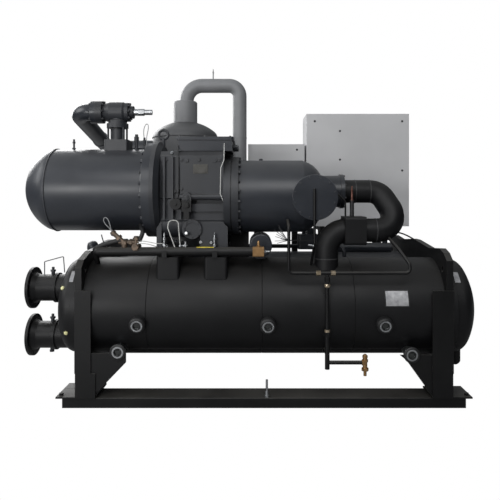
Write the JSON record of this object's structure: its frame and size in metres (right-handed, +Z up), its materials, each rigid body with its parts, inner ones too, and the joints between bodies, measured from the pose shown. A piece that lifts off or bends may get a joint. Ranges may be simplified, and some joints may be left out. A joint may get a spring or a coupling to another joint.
{
  "type": "water-cooled screw chiller",
  "caption": "Water-cooled chiller: a horizontal screw compressor with oil separators over two flanged vessels on a steel base, grey electric cabinets at the back.",
  "frame": {"origin": "middle of the machine's bounding box, on the floor under the rails", "axes": "+X to the right along the vessels, away from the water nozzles; +Y to the back, where the cabinets stand; +Z up"},
  "size_m": [3.658, 1.906, 2.902],
  "materials": {
    "dark_paint": "satin",
    "black_paint": "satin",
    "black_foam": "matte",
    "grey_paint": "satin",
    "cabinet_paint": "satin",
    "brass": "satin",
    "steel": "satin",
    "white_sleeve": "matte",
    "plate": "satin"
  },
  "bodies": {
    "root": {"anchor_studs": "steel", "base_rails": "black_paint", "cabinet_doors": "cabinet_paint", "cabinet_frame": "black_paint", "capillary_tubes": "black_paint", "chilled_water_nozzles": "black_foam", "compressor_feet": "dark_paint", "compressor_flange": "dark_paint", "compressor_motor_casing": "dark_paint", "compressor_motor_flange": "dark_paint", "compressor_rotor_casing": "dark_paint", "compressor_solenoids": "black_paint", "condenser_heads": "dark_paint", "condenser_shell": "dark_paint", "control_cabinet": "cabinet_paint", "cooling_water_nozzles": "dark_paint", "discharge_base": "dark_paint", "discharge_bonnet": "dark_paint", "discharge_pipe": "dark_paint", "discharge_valve": "dark_paint", "drain_tube": "black_paint", "drain_valve": "brass", "end_plates": "black_paint", "evaporator_head_left": "black_foam", "evaporator_head_right": "black_foam", "evaporator_shell": "black_foam", "foot_plates": "black_paint", "head_fittings": "steel", "hot_gas_pipe": "grey_paint", "leg_flanges": "black_paint", "level_tube": "black_paint", "lifting_eye": "dark_paint", "liquid_line": "black_paint", "name_plate": "plate", "oil_end_valve": "brass", "oil_filter": "black_paint", "oil_hose": "black_paint", "oil_line": "black_paint", "oil_separator_flange": "dark_paint", "oil_separator_head": "dark_paint", "oil_separator_shell": "dark_paint", "oil_valve_cluster": "brass", "pilot_valve": "dark_paint", "relief_header": "black_paint", "saddle_blocks": "black_paint", "service_bolts": "steel", "sight_glasses": "steel", "sleeved_capillaries": "white_sleeve", "starter_cabinet": "cabinet_paint", "suction_flange_box": "black_foam", "suction_pipe": "black_foam", "suction_sensor": "black_paint", "suction_strainer": "dark_paint", "terminal_box": "dark_paint", "tube_fittings": "steel", "vertical_separator_heads": "grey_paint", "vertical_separator_neck": "grey_paint", "vertical_separator_shell": "grey_paint", "vertical_separator_skirt": "grey_paint"}
  },
  "joints": []
}
